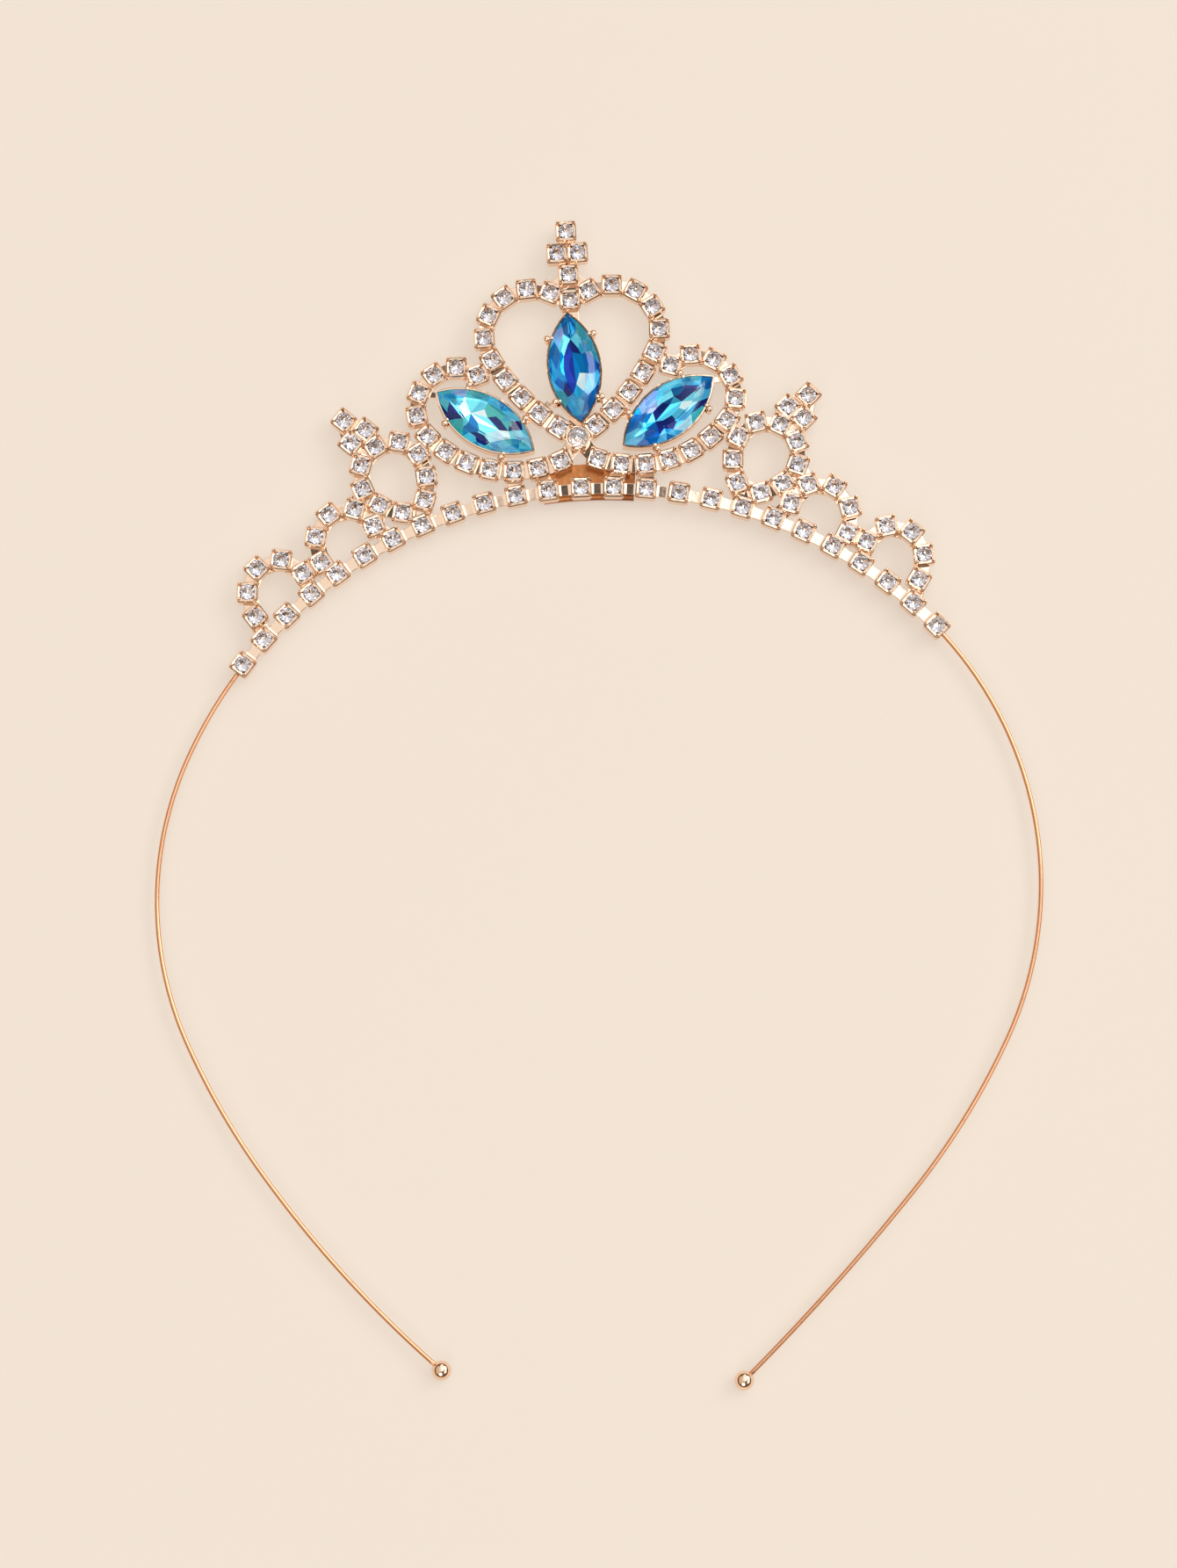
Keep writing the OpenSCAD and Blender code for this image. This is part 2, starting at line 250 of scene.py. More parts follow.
def piece(name, shape, materials, replaced, smooth=True):
    """A finished piece from a bmesh in millimetres of the row frame. It rides on the one body."""
    bmesh.ops.transform(shape, matrix=MM, verts=shape.verts)
    for face in shape.faces:
        face.smooth = smooth
    data = bpy.data.meshes.new(name)
    shape.to_mesh(data)
    shape.free()
    for material in materials:
        data.materials.append(material)
    made = bpy.data.objects.new(name, data)
    bpy.context.scene.collection.objects.link(made)
    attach(made, "root")
    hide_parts(*replaced)


def bend_leg(shape, ring, leg, angle, side):
    """Sweeps the wire's end along arcs (radius, degrees). Gives the last ring, its place and its heading."""
    centre = ARC_CENTRE + UP * WIRE_Z
    radius = ARC_R
    for next_radius, sweep in leg:
        outwards = Vector((math.cos(math.radians(angle)), math.sin(math.radians(angle)), 0))
        centre = centre + (radius - next_radius) * outwards
        radius = next_radius
        swept = bmesh.ops.spin(shape, geom=ring, cent=centre, axis=UP, angle=math.radians(side * sweep),
                               steps=max(8, int(sweep * radius / 120)), use_duplicate=False)
        ring = swept["geom_last"]
        angle += side * sweep
    outwards = Vector((math.cos(math.radians(angle)), math.sin(math.radians(angle)), 0))
    return ring, centre + radius * outwards, math.radians(angle) + side * math.pi / 2


wire = bmesh.new()
start = math.radians(90 - RIGHT_LEAVES)
to_start = Matrix.Translation(ARC_CENTRE + UP * WIRE_Z) @ Matrix.Rotation(start, 4, "Z")
to_start = to_start @ Matrix.Translation((ARC_R, 0, 0)) @ Matrix.Rotation(math.pi / 2, 4, "X")
first = bmesh.ops.create_circle(wire, segments=20, radius=WIRE_D / 2, matrix=to_start)["verts"]
first_ring = first + list({edge for vert in first for edge in vert.link_edges})
swept = bmesh.ops.spin(wire, geom=first_ring, cent=ARC_CENTRE + UP * WIRE_Z, axis=UP, steps=90,
                       angle=math.radians(RIGHT_LEAVES + LEFT_LEAVES), use_duplicate=False)
left_end, left_tip, left_heading = bend_leg(wire, swept["geom_last"], LEFT_LEG, 90 + LEFT_LEAVES, 1)
right_end, right_tip, right_heading = bend_leg(wire, first_ring, RIGHT_LEG, 90 - RIGHT_LEAVES, -1)
for end in (left_end, right_end):
    bmesh.ops.contextual_create(wire, geom=[part for part in end if isinstance(part, bmesh.types.BMEdge)])
bmesh.ops.recalc_face_normals(wire, faces=wire.faces)
wire_gold = polished("deep_rose_gold_plating", (0.8, 0.4, 0.22), (0.86, 0.47, 0.28), (0.4, 0.17, 0.08),
                     roughness=0.06, uneven=0.1)
piece("spring_wire", wire, [wire_gold], ["band_wire"])


# A turned ball of the same plating is pushed on each end of the wire, up to its middle. Its
# mouth is rounded over where the wire goes in.
BALL_D = 3
MOUTH_R = 0.42
MOUTH_DEPTH = 0.25

rose_gold = polished("rose_gold_plating", (0.93, 0.67, 0.49), (0.95, 0.71, 0.54), (0.66, 0.38, 0.24),
                     roughness=0.03, uneven=0.03)
for side, tip, heading in (("left", left_tip, left_heading), ("right", right_tip, right_heading)):
    ball = bmesh.new()
    rim = ball.verts.new((BALL_D / 2, 0, 0))
    to_mouth = math.asin(MOUTH_R / (BALL_D / 2))
    arc = bmesh.ops.spin(ball, geom=[rim], cent=(0, 0, 0), axis=(0, 1, 0), steps=24, use_duplicate=False,
                         angle=math.pi - to_mouth)
    last = [part for part in arc["geom_last"] if isinstance(part, bmesh.types.BMVert)][0]
    inside = bmesh.ops.extrude_vert_indiv(ball, verts=[last])["verts"][0]
    inside.co = Vector((last.co.x + MOUTH_DEPTH, 0, last.co.z * 0.9))
    bmesh.ops.spin(ball, geom=ball.verts[:] + ball.edges[:], cent=(0, 0, 0), axis=(1, 0, 0), steps=32,
                   angle=2 * math.pi, use_merge=True, use_duplicate=False)
    bmesh.ops.remove_doubles(ball, verts=ball.verts, dist=0.001)
    bmesh.ops.recalc_face_normals(ball, faces=ball.faces)
    place = Matrix.Translation(tip) @ Matrix.Rotation(heading, 4, "Z")
    bmesh.ops.transform(ball, matrix=place, verts=ball.verts)
    piece("turned_ball_" + side, ball, [rose_gold], ["tip_ball_" + side])


# The crown is soldered up from cast square cups. Each cup is a tray with a ledge for its stone,
# and leans a hair out of true. The left rows mirror the right ones.
CROWN_TURN = 3.3
ARC_STEP = 4.17
END_CUP = 12
CUP_W = 3.3
CUP_BASE = 1.5
CUP_RIM = 3.2
CUP_CORNER = 0.4
RIM_CHAMFER = 0.12
CUP_LEAN = 0.012
# A row has a first place (x, y, heading), then arcs (length, turn in degrees), then a count of cups.
HEART = ((3.05, 102.8, 26), [(18.9, -143.5), (15.8, -26)], 10)
SCROLL = ((15.3, 89.9, 71), [(1.5, -50.5), (17.4, -150.5), (22.9, -71.5)], 12)
RING = ((24.6, 70.1, 109), [(8.8, -55), (1, -24), (16.3, -174), (4.7, -25)], 9)
INNER_LOOP = ((41.3, 61, 60), [(7.7, 75), (9.3, 116)], 5)
OUTER_LOOP = ((51.9, 52.9, 56), [(6.4, 57), (10.3, 127.5)], 5)
TOP_CROSS = [(0, 112.8, 0), (-1.65, 109.2, 0), (1.65, 109.2, 0), (0, 105.6, 0)]
SIDE_CROSS = [(36.7, 83.7, 42), (33.35, 82, 42), (35.75, 80, 42)]
DIP_CUP = (0, 101.45, 0)
ROUND_CUP = (0, 78.8, 0)

in_crown = Matrix.Translation(ARC_CENTRE) @ Matrix.Rotation(math.radians(CROWN_TURN), 4, "Z")


def row_of_cups(start, arcs, count):
    """Places (x, y, angle) of cups evenly spaced along a walk of arcs (length, turn)."""
    places = []
    for k in range(count):
        left = sum(length for length, turn in arcs) * k / (count - 1)
        x, y, heading = start
        for length, turn in arcs:
            step = min(left, length)
            radius = length / math.radians(turn)
            turned = heading + turn * step / length
            x += radius * (math.sin(math.radians(turned)) - math.sin(math.radians(heading)))
            y -= radius * (math.cos(math.radians(turned)) - math.cos(math.radians(heading)))
            heading = turned
            left -= step
        places.append((x, y, heading))
    return places


def on_arc(k):
    """The place of a cup of the bottom row, counted from its middle."""
    angle = math.radians(k * ARC_STEP)
    return ARC_R * math.sin(angle), ARC_R * math.cos(angle), -k * ARC_STEP


def mirrored(places):
    """The same places on the crown's left side."""
    return [(-x, y, 180 - angle) for x, y, angle in places]


def at_place(x, y, angle, z=0):
    """Matrix that puts a pattern at a place of the crown."""
    return in_crown @ Matrix.Translation((x, y, z)) @ Matrix.Rotation(math.radians(angle), 4, "Z")


def out_of(place, x, y):
    """The point that lies x and y away from a place, in the place's own directions."""
    angle = math.radians(place[2])
    return (place[0] + x * math.cos(angle) - y * math.sin(angle),
            place[1] + x * math.sin(angle) + y * math.cos(angle))


def add_copy(made, pattern, matrix):
    """Adds a copy of a pattern's mesh to a bmesh."""
    before = len(made.verts)
    made.from_mesh(pattern)
    made.verts.ensure_lookup_table()
    bmesh.ops.transform(made, matrix=matrix, verts=made.verts[before:])


def as_pattern(shape, name):
    """A small mesh that add_copy repeats."""
    pattern = bpy.data.meshes.new(name)
    shape.to_mesh(pattern)
    shape.free()
    return pattern


def top_face(shape):
    """The face of a shape whose middle is highest."""
    return max(shape.faces, key=lambda face: face.calc_center_median().z)


bottom_row = [on_arc(k) for k in range(-END_CUP, END_CUP + 1)]
heart = row_of_cups(*HEART)
scroll = row_of_cups(*SCROLL)
ring = row_of_cups(*RING)
inner_loop = row_of_cups(*INNER_LOOP)
outer_loop = row_of_cups(*OUTER_LOOP)
right_cups = heart + scroll + ring + inner_loop + outer_loop + SIDE_CROSS
cups = bottom_row + [DIP_CUP] + TOP_CROSS + right_cups + mirrored(right_cups)

tray = bmesh.new()
middle = Matrix.Translation((0, 0, (CUP_BASE + CUP_RIM) / 2))
bmesh.ops.create_cube(tray, size=1, matrix=middle @ Matrix.Diagonal((CUP_W, CUP_W, CUP_RIM - CUP_BASE, 1)))
upright = [edge for edge in tray.edges if abs(edge.verts[0].co.z - edge.verts[1].co.z) > 1]
bmesh.ops.bevel(tray, geom=upright, offset=CUP_CORNER, segments=2, affect="EDGES", profile=0.5, material=-1)
bmesh.ops.bevel(tray, geom=top_face(tray).edges[:], offset=RIM_CHAMFER, segments=1, affect="EDGES",
                profile=0.5, material=-1)
floor_face = top_face(tray)
for inwards, down in ((0.05, 0.0), (0.05, -0.05), (0.31, -0.03), (0.02, -0.8)):
    bmesh.ops.inset_region(tray, faces=[floor_face], thickness=inwards, depth=down)
tray = as_pattern(tray, "tray")

crown = bmesh.new()
casting = random.Random(3)


def leaning(amount):
    """A small random tilt about X and Y, with a spread in radians."""
    about_x = Matrix.Rotation(casting.gauss(0, amount), 4, "X")
    return about_x @ Matrix.Rotation(casting.gauss(0, amount), 4, "Y")


for cup in cups:
    lean = leaning(CUP_LEAN)
    add_copy(crown, tray, at_place(*cup, CUP_BASE) @ lean @ Matrix.Translation((0, 0, -CUP_BASE)))


# The round cup is turned from bar and holds the larger clear stone. It is soldered in where the
# heart and the two scrolls end.
ROUND_D = 3.2
ROUND_SEAT_D = ROUND_D + 0.2

round_tray = bmesh.new()
bmesh.ops.create_cone(round_tray, cap_ends=True, segments=28, radius1=ROUND_D / 2 + 0.38,
                      radius2=ROUND_D / 2 + 0.33, depth=CUP_RIM - CUP_BASE, matrix=middle)
round_floor = top_face(round_tray)
for inwards, down in ((0.08, 0.05), (0.12, -0.02), (0.2, -0.2), (0.1, -0.7)):
    bmesh.ops.inset_region(round_tray, faces=[round_floor], thickness=inwards, depth=down)
round_tray = as_pattern(round_tray, "round_tray")
add_copy(crown, round_tray, at_place(*ROUND_CUP))


# Each cup has four cast prongs, which are bent in over the stone and end in small balls. One is
# left off where it would stand in the next cup's seat. The round cup's four stand nearer its sides.
PRONG_OUT = 1.37
PRONG_LEAN = 0.12
PRONG_MIDDLE = 3.0
PRONG_LENGTH = 1.2
PRONG_BALL_R = 0.3
PRONG_BALL_Z = 3.66
PRONG_ROOM = 0.56
SEAT_D = 2.7
ROUND_PRONG_OUT = ROUND_D / 2 + 0.42
ROUND_PRONG_ANGLES = (60, 120, 245, 295)

prong = bmesh.new()
bmesh.ops.create_cone(prong, cap_ends=False, segments=6, radius1=0.24, radius2=0.19, depth=PRONG_LENGTH,
                      matrix=Matrix.Translation((0, 0, PRONG_MIDDLE)))
for vert in prong.verts:
    if vert.co.z > PRONG_MIDDLE:
        vert.co += Vector((-PRONG_LEAN, -PRONG_LEAN, 0))
bmesh.ops.create_uvsphere(prong, u_segments=8, v_segments=6, radius=PRONG_BALL_R,
                          matrix=Matrix.Translation((-PRONG_LEAN, -PRONG_LEAN, PRONG_BALL_Z)))
prong = as_pattern(prong, "prong")


def in_a_seat(x, y):
    """Whether a prong at a place of the crown would stand in the seat of any cup."""
    near_round = math.hypot(x - ROUND_CUP[0], y - ROUND_CUP[1]) < (ROUND_SEAT_D + PRONG_ROOM) / 2
    return near_round or any(math.hypot(x - cup[0], y - cup[1]) < (SEAT_D + PRONG_ROOM) / 2 for cup in cups)


for cup in cups:
    for turn in range(4):
        quarter = math.pi / 2 * turn + math.pi / 4
        reach = PRONG_OUT * math.sqrt(2)
        spot = out_of(cup, reach * math.cos(quarter), reach * math.sin(quarter))
        if not in_a_seat(*spot):
            add_copy(crown, prong, at_place(*spot, cup[2] + 90 * turn))
for angle in ROUND_PRONG_ANGLES:
    spot = out_of((*ROUND_CUP[:2], angle), ROUND_PRONG_OUT, 0)
    add_copy(crown, prong, at_place(*spot, angle - 45))


# Flat link plates are soldered between the cups, at the level of their floors, and more of them
# join the rows. Those of the bottom row are narrower, with a fillet of solder at each cup.
LINK_W = 2.5
LOW_LINK_W = 1.75
TIE_W = 0.9
LINK_T = 0.6
ROW_LEAN = 0.025
LOW_LEAN = 0.003
ROUND_LEAN = 0.002
TIE_LEAN = 0.03
EAR_ALONG = 5.2
EAR_OUT = 3.7
CENTRE_SETTING = (0.05, 90.05, 94)
RIGHT_SETTING = (14.5, 82.15, 35)
GEM_L = 17.6
GEM_W = 8
settings = [CENTRE_SETTING, RIGHT_SETTING, mirrored([RIGHT_SETTING])[0]]

plate = bmesh.new()
bmesh.ops.create_cube(plate, size=1)
bmesh.ops.bevel(plate, geom=top_face(plate).edges[:], offset=0.03, segments=1, affect="EDGES",
                profile=0.5, material=-1)
plate = as_pattern(plate, "plate")

fillet = bmesh.new()
fillet_box = Matrix.Translation((0.1, 0, -0.06)) @ Matrix.Diagonal((0.6, 1, 0.26, 1))
bmesh.ops.create_cube(fillet, size=1, matrix=fillet_box)
for vert in fillet.verts:
    if vert.co.x > 0 and vert.co.z > 0:
        vert.co.z = 0.0
fillet = as_pattern(fillet, "fillet")


def add_bar(made, a, b, width, lean=TIE_LEAN):
    """A plate from the place a to the place b."""
    length = math.hypot(b[0] - a[0], b[1] - a[1])
    angle = math.degrees(math.atan2(b[1] - a[1], b[0] - a[0]))
    matrix = at_place((a[0] + b[0]) / 2, (a[1] + b[1]) / 2, angle, CUP_BASE + LINK_T / 2)
    add_copy(made, plate, matrix @ leaning(lean) @ Matrix.Diagonal((length, width, LINK_T, 1)))


links = [(a, b) for row in (heart, scroll, ring, inner_loop, outer_loop) for a, b in zip(row, row[1:])]
links += [(DIP_CUP, heart[0]), (TOP_CROSS[3], heart[0]), (heart[5], scroll[0]), (heart[9], ROUND_CUP),
          (scroll[11], ROUND_CUP), (scroll[9], on_arc(2)), (scroll[10], on_arc(1)), (scroll[5], ring[2]),
          (ring[8], ring[0]), (ring[0], on_arc(5)), (ring[6], inner_loop[3]), (ring[7], inner_loop[4]),
          (inner_loop[4], on_arc(6)), (inner_loop[0], on_arc(8)), (inner_loop[0], outer_loop[4]),
          (outer_loop[4], on_arc(9)), (outer_loop[0], on_arc(11)), (ring[4], SIDE_CROSS[1]),
          (ring[4], SIDE_CROSS[2]), (SIDE_CROSS[1], SIDE_CROSS[2]), (SIDE_CROSS[0], SIDE_CROSS[1]),
          (SIDE_CROSS[0], SIDE_CROSS[2])]
links += [tuple(mirrored(pair)) for pair in links]
links += [(TOP_CROSS[0], TOP_CROSS[3]), (TOP_CROSS[1], TOP_CROSS[2]), (TOP_CROSS[3], DIP_CUP),
          (DIP_CUP, CENTRE_SETTING), (ROUND_CUP, CENTRE_SETTING)]
low_links = list(zip(bottom_row, bottom_row[1:]))
for a, b in links:
    add_bar(crown, a, b, LINK_W, ROUND_LEAN if ROUND_CUP in (a, b) else ROW_LEAN)
for a, b in low_links:
    add_bar(crown, a, b, LOW_LINK_W, LOW_LEAN)
    for start, end in ((a, b), (b, a)):
        angle = math.degrees(math.atan2(end[1] - start[1], end[0] - start[0]))
        foot = out_of((*start[:2], angle), CUP_W / 2, 0)
        widened = Matrix.Diagonal((1, LOW_LINK_W, 1, 1))
        add_copy(crown, fillet, at_place(*foot, angle, CUP_BASE + LINK_T) @ widened)

ties = [(out_of(RIGHT_SETTING, -EAR_ALONG, EAR_OUT), heart[8]),
        (out_of(RIGHT_SETTING, EAR_ALONG, EAR_OUT), scroll[0]),
        (out_of(RIGHT_SETTING, -EAR_ALONG, -EAR_OUT), scroll[8]),
        (out_of(RIGHT_SETTING, GEM_L / 2, 0), scroll[3]),
        (out_of(CENTRE_SETTING, -EAR_ALONG, -EAR_OUT), heart[8])]
for a, b in ties:
    add_bar(crown, a, b, TIE_W)
    add_bar(crown, (-a[0], a[1]), (-b[0], b[1]), TIE_W)
piece("crown_of_cups", crown, [rose_gold], ["crown_frame"], smooth=False)


# Each pointed setting is a low tray with a thin bezel burnished round its stone. Ball-headed ears
# stand beside it on cross bars under the tray.
BEZEL_T = 0.35
BEZEL_TOP = 3.6
OVAL_R = (GEM_L ** 2 + GEM_W ** 2) / (4 * GEM_W)
EAR_POST_R = 0.4
EAR_BALL_R = 0.54
SMALL_BALL_R = 0.36
SMALL_BALL_IN = 0.72


def pointed_oval(shape, margin, z, steps):
    """Adds a closed ring of edges: two arcs that meet at the tips, a margin outside the stone's outline."""
    radius = OVAL_R + margin
    centre = Vector((0, GEM_W / 2 - OVAL_R, z))
    half = math.acos((OVAL_R - GEM_W / 2) / radius)
    corner = shape.verts.new(centre + radius * Vector((math.sin(half), math.cos(half), 0)))
    arc = bmesh.ops.spin(shape, geom=[corner], cent=centre, axis=UP, angle=2 * half, steps=steps)
    shape.verts.ensure_lookup_table()
    side = [vert for vert in shape.verts if abs(vert.co.z - z) < 1e-6]
    edges = list({edge for vert in side for edge in vert.link_edges})
    other = bmesh.ops.duplicate(shape, geom=side + edges)["geom"]
    turned = [part for part in other if isinstance(part, bmesh.types.BMVert)]
    bmesh.ops.rotate(shape, verts=turned, cent=(0, 0, z), matrix=Matrix.Rotation(math.pi, 3, "Z"))
    bmesh.ops.remove_doubles(shape, verts=side + turned, dist=0.001)
    return [edge for edge in shape.edges if all(abs(vert.co.z - z) < 1e-6 for vert in edge.verts)]


bezel = bmesh.new()
outline = pointed_oval(bezel, BEZEL_T, CUP_BASE, 20)
base = bmesh.ops.contextual_create(bezel, geom=outline)["faces"]
raised = bmesh.ops.extrude_face_region(bezel, geom=base)["geom"]
lifted = [part for part in raised if isinstance(part, bmesh.types.BMVert)]
bmesh.ops.translate(bezel, verts=lifted, vec=UP * (BEZEL_TOP - CUP_BASE))
bmesh.ops.recalc_face_normals(bezel, faces=bezel.faces)
bezel_floor = top_face(bezel)
for inwards, down in ((0.08, 0.08), (0.2, 0.0), (0.03, -1.4)):
    bmesh.ops.inset_region(bezel, faces=[bezel_floor], thickness=inwards, depth=down)
bezel = as_pattern(bezel, "bezel")

ear = bmesh.new()
bmesh.ops.create_cone(ear, cap_ends=True, segments=16, radius1=EAR_POST_R, radius2=EAR_POST_R - 0.04,
                      depth=BEZEL_TOP - CUP_BASE,
                      matrix=Matrix.Translation((0, 0, (BEZEL_TOP + CUP_BASE) / 2)))
bmesh.ops.create_uvsphere(ear, u_segments=20, v_segments=14, radius=EAR_BALL_R,
                          matrix=Matrix.Translation((0, 0, BEZEL_TOP)))
bmesh.ops.create_uvsphere(ear, u_segments=14, v_segments=10, radius=SMALL_BALL_R,
                          matrix=Matrix.Translation((0, -SMALL_BALL_IN, BEZEL_TOP + 0.05)))
ear = as_pattern(ear, "ear")

trays = bmesh.new()
for setting in settings:
    add_copy(trays, bezel, at_place(*setting))
    for end in (-1, 1):
        low_ear, high_ear = (out_of(setting, end * EAR_ALONG, side * EAR_OUT) for side in (-1, 1))
        add_bar(trays, low_ear, high_ear, TIE_W)
        add_copy(trays, ear, at_place(*low_ear, setting[2] + 180))
        add_copy(trays, ear, at_place(*high_ear, setting[2]))
piece("pointed_settings", trays, [rose_gold], ["crown_frame"], smooth=False)


# A curved plate is soldered behind the middle of the bottom row. Its darker, copper tone is painted
# shade, and along it a painted highlight on the left fades to painted shade, a deep brown, on the right.
PLATE_T = 0.9
PLATE_H = 5.8
PLATE_W = 14.7
PLATE_SHIFT = 1.2
PLATE_TOP = CUP_BASE - 0.05
PLATE_EDGE_R = ARC_R - CUP_W / 2

back = bmesh.new()
edge_r = PLATE_EDGE_R + PLATE_H / 2
half_angle = PLATE_W / 2 / edge_r
section = Matrix.Translation((edge_r, 0, PLATE_TOP - PLATE_T / 2)) @ Matrix.Rotation(math.pi / 2, 4, "X")
profile = bmesh.ops.create_grid(back, x_segments=1, y_segments=1, size=0.5,
                                matrix=section @ Matrix.Diagonal((PLATE_H, PLATE_T, 1, 1)))["verts"]
bmesh.ops.bevel(back, geom=profile, offset=0.2, segments=3, affect="VERTICES", profile=0.5, material=-1)
middle_angle = math.pi / 2 - PLATE_SHIFT / edge_r
turned = Matrix.Rotation(middle_angle - half_angle, 4, "Z")
bmesh.ops.transform(back, matrix=turned, verts=back.verts)
bmesh.ops.spin(back, geom=back.verts[:] + back.edges[:] + back.faces[:], cent=(0, 0, 0), axis=UP, steps=24,
               angle=2 * half_angle, use_duplicate=False)
bmesh.ops.recalc_face_normals(back, faces=back.faces)
bmesh.ops.transform(back, matrix=in_crown, verts=back.verts)
# Painted shade and highlight: the plate's copper tone is shade, lighter on the left as a highlight.
plate_painted_shade = polished("plate_painted_shade_and_highlight", (0.6, 0.23, 0.08), (0.2, 0.05, 0.015), (0.12, 0.035, 0.015),
                  roughness=0.2, uneven=0.3, painted_fade=(-0.005, 0.009))
piece("curved_back_plate", back, [plate_painted_shade], ["back_plate"], smooth=False)


# The small stones are clear cut glass. A mirror foil covers the pointed back of each, which sits
# on the ledge of its cup.
STONE_D = 2.5
GIRDLE_Z = 3.15
STONE_TIP = 7


def clear_glass(name, tint, ior):
    material, tree = new_material(name)
    finish_material(tree, tree.node("ShaderNodeBsdfPrincipled", None, {
        "Base Color": (*tint, 1), "Roughness": 0.0, "IOR": ior, "Transmission Weight": 1.0}))
    return material


def round_cut(diameter, table_z, culet_z):
    """A cut stone on its girdle: table, stars, kites and girdle facets above, mains and halves below."""
    stone = bmesh.new()
    for count, width, z, turn in ((8, 0.6, table_z, 0), (8, 0.84, table_z * 0.6, 22.5), (16, 1, 0.05, 11.25),
                                  (16, 1, -0.03, 11.25), (8, 0.32, culet_z * 0.76, 22.5)):
        turned = Matrix.Translation((0, 0, z)) @ Matrix.Rotation(math.radians(turn), 4, "Z")
        bmesh.ops.create_circle(stone, segments=count, radius=diameter / 2 * width, matrix=turned)
    stone.verts.new((0, 0, culet_z))
    bmesh.ops.delete(stone, geom=stone.edges[:], context="EDGES_FACES")
    return stone


def close_cut(stone):
    """Closes a stone's rings of points with flat facets. Those below the girdle take the foil."""
    bmesh.ops.convex_hull(stone, input=stone.verts)
    bmesh.ops.dissolve_limit(stone, angle_limit=math.radians(1), verts=stone.verts, edges=stone.edges)
    bmesh.ops.recalc_face_normals(stone, faces=stone.faces)
    for face in stone.faces:
        face.material_index = 1 if face.normal.z < -0.05 else 0
    return stone


crystal = clear_glass("crystal_glass", (0.97, 0.97, 1.0), 1.52)
foil, tree = new_material("silver_foil")
finish_material(tree, tree.node("ShaderNodeBsdfPrincipled", None, {
    "Base Color": (0.84, 0.82, 0.84, 1), "Metallic": 1.0, "Roughness": 0.04}))

small_stone = as_pattern(close_cut(round_cut(STONE_D, 0.45, -0.95)), "small_stone")
stone_turns = random.Random(7)


def stones(name, places, node):
    made = bmesh.new()
    for x, y, angle in places:
        spun = Matrix.Rotation(math.radians(stone_turns.uniform(0, 45)), 4, "Z")
        tipped = Matrix.Rotation(math.radians(stone_turns.uniform(0, STONE_TIP)), 4, "X")
        turned = Matrix.Rotation(math.radians(stone_turns.uniform(0, 360)), 4, "Z")
        add_copy(made, small_stone, at_place(x, y, angle, GIRDLE_Z) @ turned @ tipped @ spun)
    piece(name, made, [crystal, foil], [node], smooth=False)


stones("bottom_row_crystals", bottom_row, "bottom_row_stones")
stones("heart_crystals", [DIP_CUP] + heart + mirrored(heart), "heart_stones")
stones("top_cross_crystals", TOP_CROSS, "top_cross_stones")
for row_name, row in (("scroll", scroll), ("ring", ring), ("side_cross", SIDE_CROSS),
                      ("inner_loop", inner_loop), ("outer_loop", outer_loop)):
    stones(row_name + "_crystals_left", mirrored(row), row_name + "_stones_left")
    stones(row_name + "_crystals_right", row, row_name + "_stones_right")


# The round stone is cut like the small ones, but larger and a little flatter, on a whiter foil that
# glows a little, which is painted light. It sits in the round cup, tipped a few degrees.
ROUND_TIP = 5
WHITE_PAINTED_GLOW = 0.13

white_foil_painted_glow, tree = new_material("white_foil_painted_glow")
# The white foil's emission is painted light that brightens the stone.
finish_material(tree, tree.node("ShaderNodeBsdfPrincipled", None, {
    "Base Color": (0.95, 0.95, 0.97, 1), "Metallic": 1.0, "Roughness": 0.04,
    "Emission Color": (1, 0.98, 0.98, 1), "Emission Strength": WHITE_PAINTED_GLOW}))
centre_stone = close_cut(round_cut(ROUND_D, 0.6, -0.85))
tipped = at_place(*ROUND_CUP, GIRDLE_Z) @ Matrix.Rotation(math.radians(ROUND_TIP), 4, "Y")
bmesh.ops.transform(centre_stone, matrix=tipped, verts=centre_stone.verts)
piece("round_crystal", centre_stone, [crystal, white_foil_painted_glow], ["round_stone"], smooth=False)


# The three pointed stones are cut from blue glass, with backs that come down to a short keel. A
# coloured foil on the back facets gives them tones from navy to white: their blue, with painted
# flashes and painted shade on chosen facets. The foil also glows a little, which is painted light.
# They are set in the trays, under the burnished bezels.
GEM_Z = 3.6
KEEL_END = 0.3 * GEM_L / 2
KEEL_Z = -1.28
NAVY, BLUE, AZURE, CYAN, TEAL, LILAC, WHITE = 0, 0.17, 0.34, 0.5, 0.66, 0.83, 1
FOIL_PAINTED_GLOW = 0.33
PATCH_R = 0.25
PATCH_SQUEEZE = 1.5
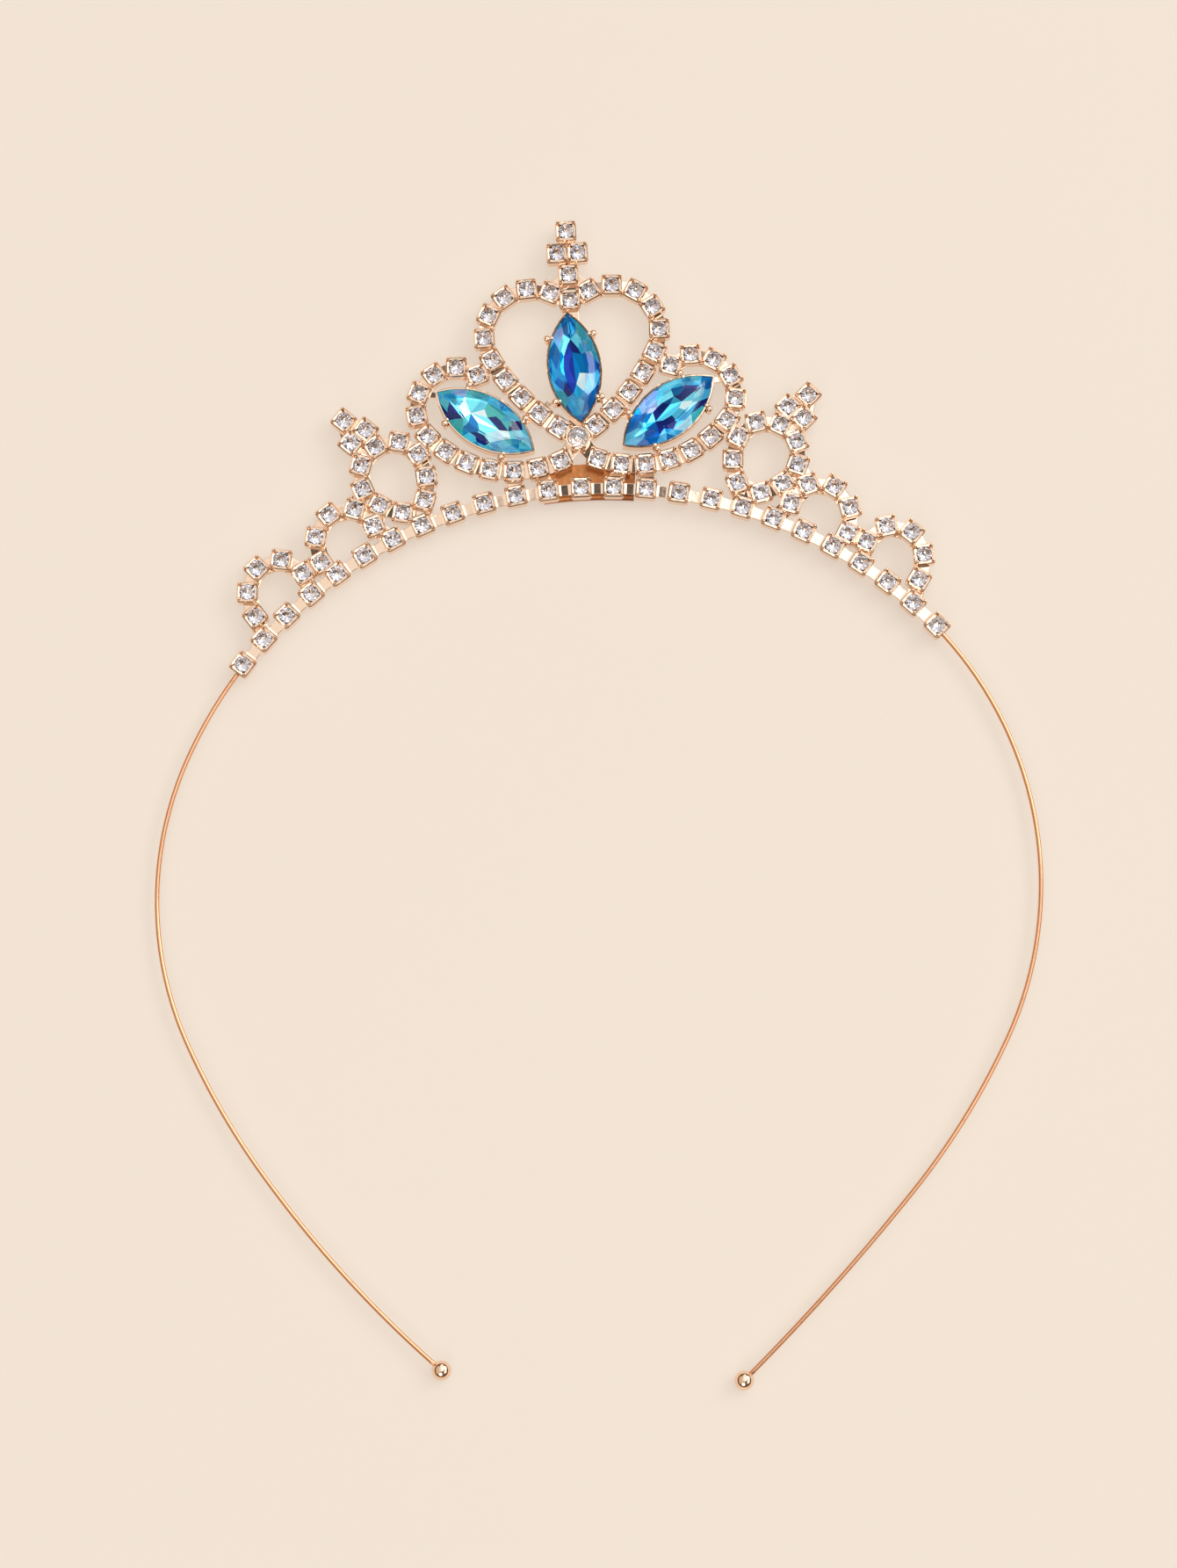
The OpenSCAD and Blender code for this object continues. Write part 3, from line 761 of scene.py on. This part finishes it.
# A patch (along, across, tone) sets the tone of the facets near it, from -1 to 1 along and across
# the stone. The patches paint the stone's flashes and dark facets as well as its blue. The other
# facets take a chance tone from the stone's range.
PAINTED_FLASH_PATCHES = {
    "centre": [(0.57, 0.5, LILAC), (0.6, -0.45, TEAL), (0.35, -0.85, TEAL), (0.35, 0, NAVY),
               (0.3, 0.7, BLUE), (-0.05, 0.65, AZURE), (0.08, 0.18, NAVY), (0.05, -0.28, BLUE),
               (-0.28, -0.3, WHITE), (-0.3, 0.25, NAVY), (-0.57, 0.7, TEAL), (-0.6, -0.5, BLUE),
               (0, -0.6, BLUE)],
    "left": [(0.63, -0.5, LILAC), (0.38, -0.03, WHITE), (0.15, 0.02, WHITE), (-0.12, 0.08, CYAN),
             (-0.33, 0.15, WHITE), (0.6, 0.4, NAVY), (0.3, -0.75, TEAL), (-0.1, -0.4, TEAL),
             (-0.4, -0.8, CYAN), (-0.23, -0.15, NAVY), (-0.48, -0.5, NAVY), (-0.65, -0.4, CYAN),
             (-0.1, 0.5, NAVY), (0.4, 0.7, TEAL), (0.06, 0.3, BLUE)],
    "right": [(-0.08, 0.85, LILAC), (-0.26, 0.6, LILAC), (0.3, 0.7, CYAN), (0.42, 0.1, NAVY),
              (0.33, -0.15, WHITE), (0.53, -0.4, NAVY), (-0.16, 0.2, NAVY), (-0.17, -0.2, NAVY),
              (-0.58, -0.4, BLUE), (0.1, -0.8, WHITE), (0.39, -0.8, TEAL), (-0.58, 0.45, BLUE)]}
OTHER_TONES = {"centre": (0.03, 0.5), "left": (0.2, 0.66), "right": (0.08, 0.54)}

gem_glass = clear_glass("aqua_glass", (0.82, 0.96, 1.0), 1.5)
gem_foil_painted_light, tree = new_material("blue_foil_painted_light")
facet_tone = tree.node("ShaderNodeAttribute", {"attribute_name": "facet"}, output=2)
foil_colours = tree.node("ShaderNodeValToRGB", {"stops": [
    (NAVY, (0.008, 0.02, 0.16)), (BLUE, (0.0, 0.17, 0.47)), (AZURE, (0.03, 0.44, 0.7)),
    (CYAN, (0.22, 0.76, 0.9)), (TEAL, (0.08, 0.5, 0.5)), (LILAC, (0.45, 0.5, 0.85)),
    (WHITE, (0.85, 0.97, 1.0))]}, {"Fac": facet_tone})
# The foil's emission is painted light, a glow in the colours of its facets.
finish_material(tree, tree.node("ShaderNodeBsdfPrincipled", None, {
    "Base Color": foil_colours, "Metallic": 1.0, "Roughness": 0.2,
    "Emission Color": foil_colours, "Emission Strength": FOIL_PAINTED_GLOW}))

cutting = random.Random(11)
for side, setting in (("centre", CENTRE_SETTING), ("right", RIGHT_SETTING), ("left", settings[2])):
    gem = bmesh.new()
    for length, width, z, steps, uneven in (
            (0.62, 0.56, 1.35, 6, 0), (0.84, 0.82, 0.75, 8, 0), (1, 1, 0.12, 10, 0), (1, 1, -0.06, 12, 0),
            (0.88, 0.84, -0.34, 13, 0.04), (0.72, 0.64, -0.68, 12, 0.05), (0.54, 0.42, -0.97, 10, 0.05),
            (0.34, 0.2, -1.17, 8, 0.04)):
        ring_of_points = bmesh.new()
        pointed_oval(ring_of_points, 0, 0, steps)
        bmesh.ops.scale(ring_of_points, vec=(length, width, 1), verts=ring_of_points.verts)
        for vert in ring_of_points.verts:
            vert.co.z = z + cutting.uniform(-uneven, uneven)
        add_copy(gem, as_pattern(ring_of_points, "ring_of_points"), Matrix.Identity(4))
    for end in (-KEEL_END, KEEL_END):
        gem.verts.new((end, 0, KEEL_Z))
    bmesh.ops.delete(gem, geom=gem.edges[:], context="EDGES_FACES")
    close_cut(gem)
    tones = gem.faces.layers.float.new("facet")
    for face in gem.faces:
        spot = face.calc_center_median()
        length_share = spot.x / GEM_L * 2
        width_share = spot.y / GEM_W * 2
        # Facets near a patch take its tone, painted flashes and painted shade among them.
        away, tone = min((math.hypot(PATCH_SQUEEZE * (length_share - x), width_share - y), tone)
                         for x, y, tone in PAINTED_FLASH_PATCHES[side])
        face[tones] = tone if away < PATCH_R else cutting.uniform(*OTHER_TONES[side])
    bmesh.ops.transform(gem, matrix=at_place(*setting, GEM_Z), verts=gem.verts)
    piece("pointed_gem_" + side, gem, [gem_glass, gem_foil_painted_light], ["marquise_stone_" + side],
          smooth=False)
